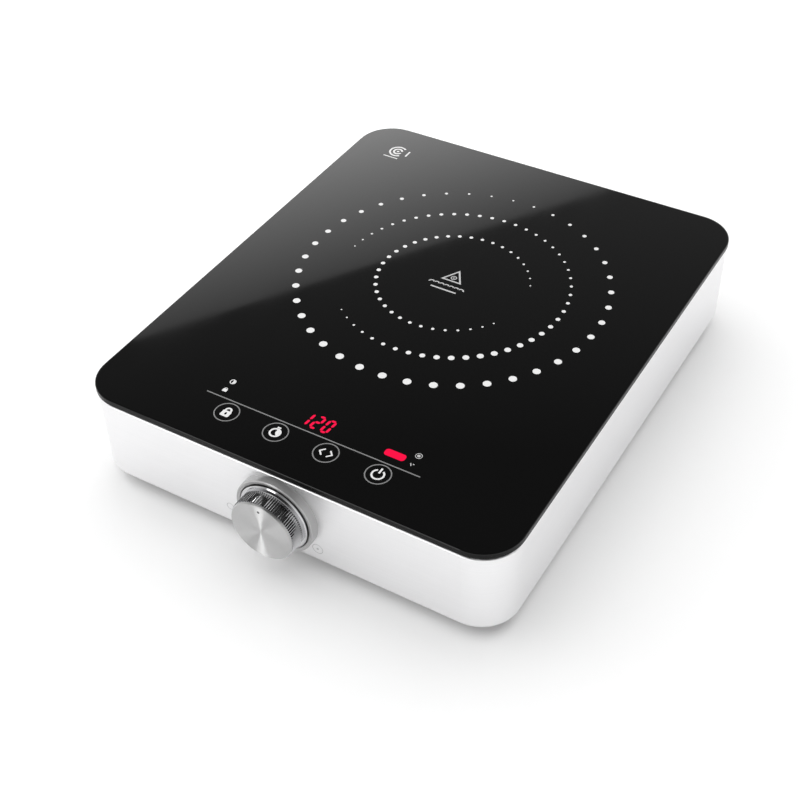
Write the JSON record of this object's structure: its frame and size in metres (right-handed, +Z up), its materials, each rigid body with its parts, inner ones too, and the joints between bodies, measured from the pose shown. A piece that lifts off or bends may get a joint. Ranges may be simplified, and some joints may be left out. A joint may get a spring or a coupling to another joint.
{
  "type": "portable induction cooktop",
  "caption": "Flat induction hob: black glass plate on a brushed steel band, touch keys, red display and a knurled rotary knob in the front wall.",
  "frame": {"origin": "on the worktop, under the middle of the whole footprint, knob and cord gland included", "axes": "+X to the right, +Y to the back, +Z up; the knob faces -Y"},
  "size_m": [0.28, 0.3602, 0.07],
  "materials": {
    "glass_black": "polished black glass-ceramic",
    "silicone_black": "matt",
    "steel_brushed": "satin, brushed along the wall",
    "plastic_black": "fine texture",
    "screw_zinc": "zinc plated",
    "rubber_black": "matt",
    "chrome": "polished",
    "bezel_satin": "satin",
    "cap_spun": "spun brushed",
    "brass": "plain",
    "encoder_grey": "moulded",
    "board_green": "solder mask",
    "tray_white": "moulded",
    "spring_steel": "bright drawn",
    "display_grey": "face tinted",
    "lamp_red": "tinted",
    "led_clear": "clear",
    "buzzer_black": "moulded",
    "socket_white": "moulded",
    "cable_grey": "flexible",
    "former_plastic": "glass filled",
    "ferrite": "sintered",
    "litz_copper": "enamelled copper",
    "mica": "sheet",
    "sensor_white": "plain",
    "aluminium_fin": "extruded",
    "package_black": "moulded epoxy",
    "film_blue": "potted box",
    "film_yellow": "potted box",
    "can_sleeve": "shrink sleeve",
    "core_green": "coated",
    "fuse_glass": "clear",
    "disc_blue": "dipped",
    "fan_black": "moulded",
    "lead_red": "flexible",
    "tail_sleeve": "woven glass sleeve"
  },
  "bodies": {
    "case": {"glass_plate": "glass_black", "glass_seal": "silicone_black", "steel_housing": "steel_brushed", "rear_panel": "steel_brushed", "base_pan": "plastic_black", "base_screws": "screw_zinc", "rubber_feet": "rubber_black", "foot_screws": "screw_zinc", "cord_gland": "rubber_black", "gland_nut": "plastic_black", "knob_bezel": "bezel_satin", "encoder_body": "encoder_grey", "encoder_washer": "screw_zinc", "encoder_nut": "screw_zinc", "encoder_board": "board_green", "encoder_lead": "cable_grey", "control_tray": "tray_white", "tray_screws": "screw_zinc", "control_board": "board_green", "control_screws": "screw_zinc", "touch_springs": "spring_steel", "digit_display": "display_grey", "power_lamp": "lamp_red", "status_leds": "led_clear", "buzzer": "buzzer_black", "ribbon_sockets": "socket_white", "ribbon_cable": "cable_grey", "coil_former": "former_plastic", "coil_screws": "screw_zinc", "ferrite_bars": "ferrite", "litz_coil": "litz_copper", "coil_tails": "tail_sleeve", "mica_sheet": "mica", "sensor_spring": "spring_steel", "power_board": "board_green", "board_screws": "screw_zinc", "heatsink": "aluminium_fin", "igbt": "package_black", "bridge_rectifier": "package_black", "device_screws": "screw_zinc", "resonance_capacitor": "film_blue", "smoothing_capacitor": "film_blue", "filter_capacitor": "film_yellow", "electrolytic_capacitors": "can_sleeve", "supply_transformer": "film_yellow", "choke_core": "core_green", "choke_winding": "litz_copper", "fuse": "fuse_glass", "fuse_clips": "spring_steel", "varistor": "disc_blue", "coil_terminals": "brass", "fan_frame": "fan_black", "fan_screws": "screw_zinc", "fan_socket": "socket_white", "fan_lead": "lead_red"},
    "knob": {"knob_body": "chrome", "knob_cap": "cap_spun", "encoder_shaft": "brass"},
    "fan": {"fan_rotor": "fan_black"},
    "sensor": {"sensor_plunger": "sensor_white"}
  },
  "joints": [
    {"name": "knob_turn", "type": "hinge", "parent": "case", "child": "knob", "pos_m": [0, -0.1615, 0.038], "axis": [0, -1, 0], "continuous": true},
    {"name": "fan_spin", "type": "hinge", "parent": "case", "child": "fan", "pos_m": [-0.055, 0.0858, 0.02], "axis": [0, 0, 1], "continuous": true},
    {"name": "sensor_press", "type": "slide", "parent": "case", "child": "sensor", "axis": [0, 0, 1], "range_m": [-0.0015, 0], "stiffness_N_per_m": 400, "springref_m": 0.003, "deforming": ["sensor_spring"]}
  ]
}
